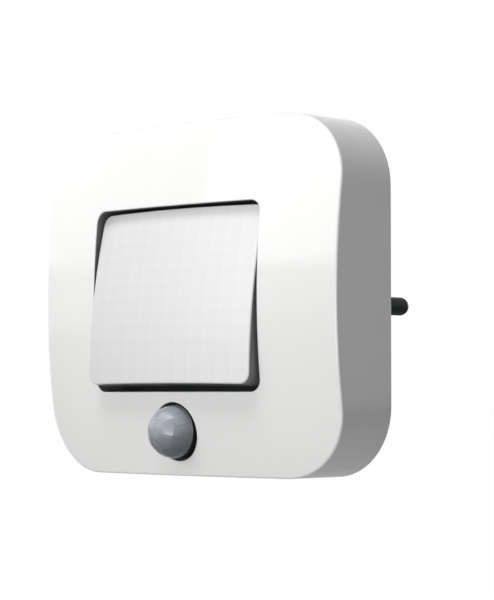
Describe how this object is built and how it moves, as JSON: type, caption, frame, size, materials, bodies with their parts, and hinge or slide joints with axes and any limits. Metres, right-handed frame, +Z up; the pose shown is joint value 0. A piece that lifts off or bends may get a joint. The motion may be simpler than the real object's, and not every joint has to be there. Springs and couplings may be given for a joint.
{
  "type": "plug-in night light",
  "caption": "Plug-in LED night light with a domed rounded-square cover, a tilting rocker light plate, a domed motion sensor and a two-pin contour plug.",
  "frame": {"origin": "centre of the plug's face, midway between the roots of the two pins", "axes": "+Z up, the light's front faces -Y, the plug's pins point along +Y into the socket, +X to the right seen from the front"},
  "size_m": [0.0992, 0.0834, 0.086],
  "materials": {
    "front_cover": "gloss",
    "rear_housing": "fine texture",
    "plug_body": "satin",
    "pin_retainer": "satin",
    "plug_pin_line": "dark nickel plate",
    "plug_pin_neutral": "dark nickel plate",
    "retainer_screws": "zinc plate",
    "flange_screws": "zinc plate",
    "cover_screws": "zinc plate",
    "board_screws": "zinc plate",
    "power_board_screws": "zinc plate",
    "reflector": "matt white",
    "main_board": "solder mask",
    "led_packages": "gloss",
    "led_phosphors": "silicone",
    "daylight_sensor": "gloss",
    "switch_body": "satin",
    "switch_terminals": "tinned",
    "sensor_lens": "translucent, faceted",
    "sensor_can": "nickel plate",
    "sensor_window": "filter",
    "sensor_leads": "gold flash",
    "sensor_holder": "matt black",
    "controller": "matt moulded",
    "controller_leads": "tinned",
    "chip_resistors": "glazed",
    "chip_capacitors": "ceramic",
    "header_base": "satin",
    "header_pins": "gold flash",
    "header_socket": "satin",
    "power_board": "phenolic",
    "film_capacitor": "gloss yellow",
    "electrolytic_capacitor": "sleeve",
    "inductor": "ferrite",
    "inductor_winding": "enamelled copper",
    "bridge_rectifier": "matt moulded",
    "fuse_resistor": "lacquer",
    "varistor": "epoxy",
    "line_wire": "PVC",
    "neutral_wire": "PVC",
    "rocker_lens": "opal satin",
    "diffuser_sheet": "prismatic clear",
    "rocker_fork": "satin",
    "pivot_pin_left": "ground",
    "pivot_pin_right": "ground",
    "switch_knob": "satin"
  },
  "bodies": {
    "housing": {"front_cover": "front_cover", "rear_housing": "rear_housing", "plug_body": "plug_body", "pin_retainer": "pin_retainer", "plug_pin_line": "plug_pin_line", "plug_pin_neutral": "plug_pin_neutral", "retainer_screws": "retainer_screws", "flange_screws": "flange_screws", "cover_screws": "cover_screws", "board_screws": "board_screws", "power_board_screws": "power_board_screws", "reflector": "reflector", "main_board": "main_board", "led_packages": "led_packages", "led_phosphors": "led_phosphors", "daylight_sensor": "daylight_sensor", "switch_body": "switch_body", "switch_terminals": "switch_terminals", "sensor_lens": "sensor_lens", "sensor_can": "sensor_can", "sensor_window": "sensor_window", "sensor_leads": "sensor_leads", "sensor_holder": "sensor_holder", "controller": "controller", "controller_leads": "controller_leads", "chip_resistors": "chip_resistors", "chip_capacitors": "chip_capacitors", "header_base": "header_base", "header_pins": "header_pins", "header_socket": "header_socket", "power_board": "power_board", "film_capacitor": "film_capacitor", "electrolytic_capacitor": "electrolytic_capacitor", "inductor": "inductor", "inductor_winding": "inductor_winding", "bridge_rectifier": "bridge_rectifier", "fuse_resistor": "fuse_resistor", "varistor": "varistor", "line_wire": "line_wire", "neutral_wire": "neutral_wire"},
    "rocker": {"rocker_lens": "rocker_lens", "diffuser_sheet": "diffuser_sheet", "rocker_fork": "rocker_fork", "pivot_pin_left": "pivot_pin_left", "pivot_pin_right": "pivot_pin_right"},
    "knob": {"switch_knob": "switch_knob"}
  },
  "joints": [
    {"name": "rocker_hinge", "type": "hinge", "parent": "housing", "child": "rocker", "pos_m": [0, -0.0546, 0], "axis": [1, 0, 0], "range_deg": [0, 15.08]},
    {"name": "switch_slide", "type": "slide", "parent": "housing", "child": "knob", "axis": [0, 0, 1], "range_m": [0, 0.00137]}
  ],
  "couplings": [
    {"joint": "switch_slide", "follows": "rocker_hinge", "m_per_rad": 0.005185}
  ]
}
